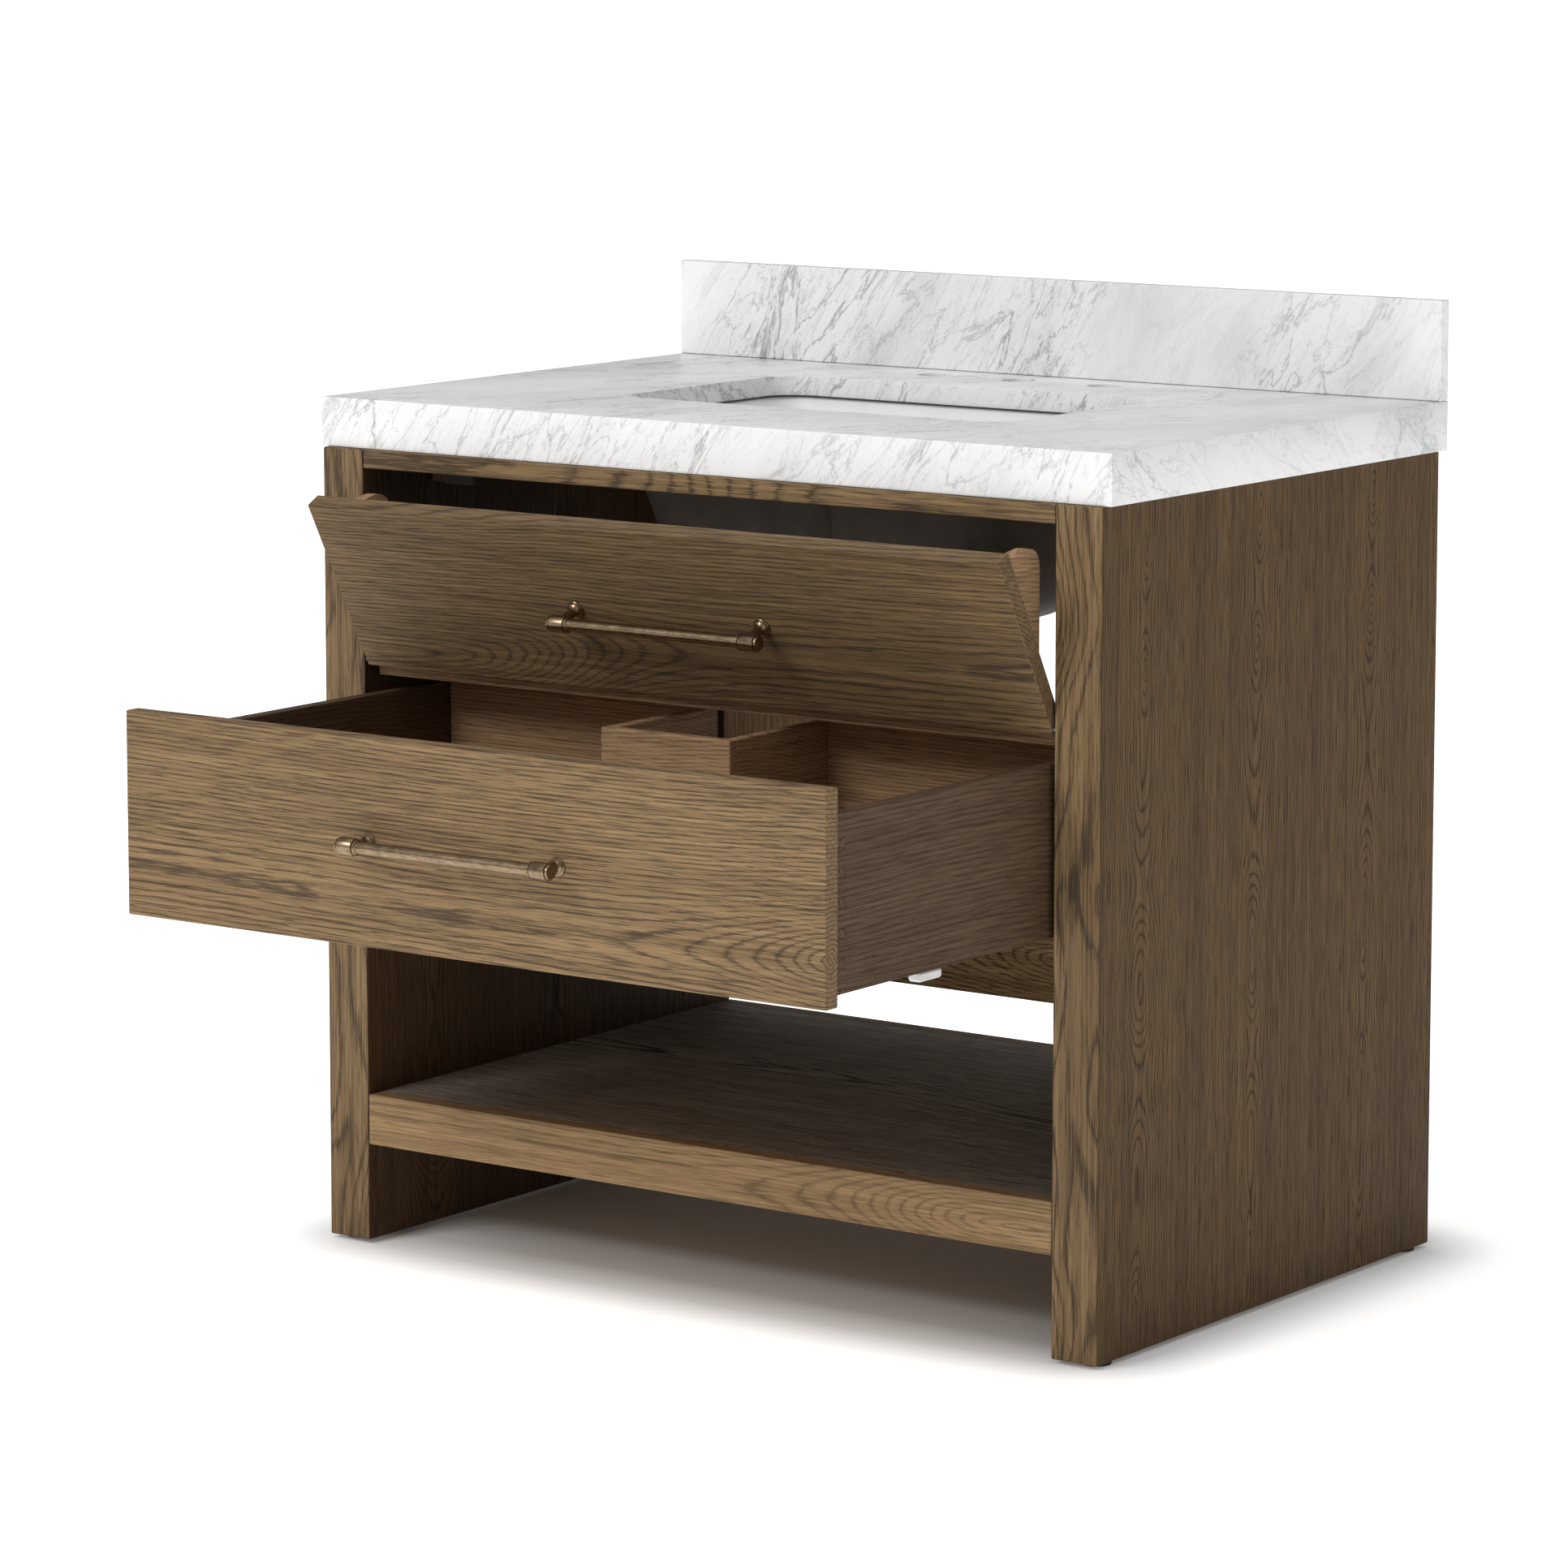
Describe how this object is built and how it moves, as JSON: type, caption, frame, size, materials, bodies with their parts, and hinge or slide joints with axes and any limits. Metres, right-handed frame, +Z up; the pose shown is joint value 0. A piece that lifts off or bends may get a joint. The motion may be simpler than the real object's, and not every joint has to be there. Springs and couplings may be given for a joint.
{
  "type": "bathroom vanity cabinet",
  "caption": "Free-standing oak vanity with a stone top, undermount sink, tip-out tray front, one wide drawer cut round the waste pipe, and an open box shelf.",
  "frame": {"origin": "on the floor, at the middle of the bounding box with the drawer drawn out and the tip-out open as in the rest pose", "axes": "+Z up, +X to the right seen from the front, the front faces -Y"},
  "size_m": [0.9144, 0.9902, 0.934],
  "materials": {
    "oak": "satin",
    "oak_inside": "satin",
    "marble": "polished",
    "ceramic": "gloss",
    "brass": "brushed",
    "steel": "satin",
    "plastic": "matte",
    "rubber": "matte"
  },
  "bodies": {
    "cabinet": {"side_panel_left": "oak", "side_panel_right": "oak", "top_rail_front": "oak", "rear_rail_lower": "oak", "shelf_front_edge": "oak", "shelf_back_edge": "oak", "divider_rail": "oak_inside", "back_panel": "oak_inside", "shelf_top_board": "oak_inside", "shelf_bottom_board": "oak_inside", "top_cleat_left": "oak_inside", "top_cleat_right": "oak_inside", "countertop_slab": "marble", "apron_front": "marble", "apron_back": "marble", "apron_left": "marble", "apron_right": "marble", "backsplash": "marble", "sink_basin": "ceramic", "sink_clip_front_left": "steel", "sink_clip_front_right": "steel", "sink_clip_back_left": "steel", "sink_clip_back_right": "steel", "hinge_pin_left": "steel", "hinge_pin_right": "steel", "slide_channel_left": "steel", "slide_channel_right": "steel", "glide_front_left": "rubber", "glide_front_right": "rubber", "glide_back_left": "rubber", "glide_back_right": "rubber", "catch_magnet": "rubber"},
    "slide_left": {"slide_middle_left": "steel"},
    "slide_right": {"slide_middle_right": "steel"},
    "drawer": {"drawer_front": "oak", "drawer_box_front": "oak_inside", "drawer_bottom": "oak_inside", "notch_front": "oak_inside", "drawer_side_left": "oak_inside", "drawer_side_right": "oak_inside", "drawer_back_left": "oak_inside", "drawer_back_right": "oak_inside", "notch_side_left": "oak_inside", "notch_side_right": "oak_inside", "slide_runner_left": "steel", "slide_runner_right": "steel", "slide_latch_left": "plastic", "slide_latch_right": "plastic", "drawer_pull_bar": "brass", "drawer_pull_post_left": "brass", "drawer_pull_post_right": "brass"},
    "tipout": {"tipout_front": "oak", "tray_side_left": "oak_inside", "tray_side_right": "oak_inside", "tray_floor": "oak_inside", "catch_plate": "steel", "tipout_pull_bar": "brass", "tipout_pull_post_left": "brass", "tipout_pull_post_right": "brass"}
  },
  "joints": [
    {"name": "drawer_slide", "type": "slide", "parent": "cabinet", "child": "drawer", "axis": [0, -1, 0], "range_m": [-0.35, 0.1]},
    {"name": "slide_left_travel", "type": "slide", "parent": "cabinet", "child": "slide_left", "axis": [0, -1, 0], "range_m": [-0.175, 0.05]},
    {"name": "slide_right_travel", "type": "slide", "parent": "cabinet", "child": "slide_right", "axis": [0, -1, 0], "range_m": [-0.175, 0.05]},
    {"name": "tipout_hinge", "type": "hinge", "parent": "cabinet", "child": "tipout", "pos_m": [0, -0.10635, 0.5827], "axis": [1, 0, 0], "range_deg": [-28.5, 0]}
  ],
  "couplings": [
    {"joint": "slide_left_travel", "follows": "drawer_slide", "ratio": 0.5},
    {"joint": "slide_right_travel", "follows": "drawer_slide", "ratio": 0.5}
  ]
}
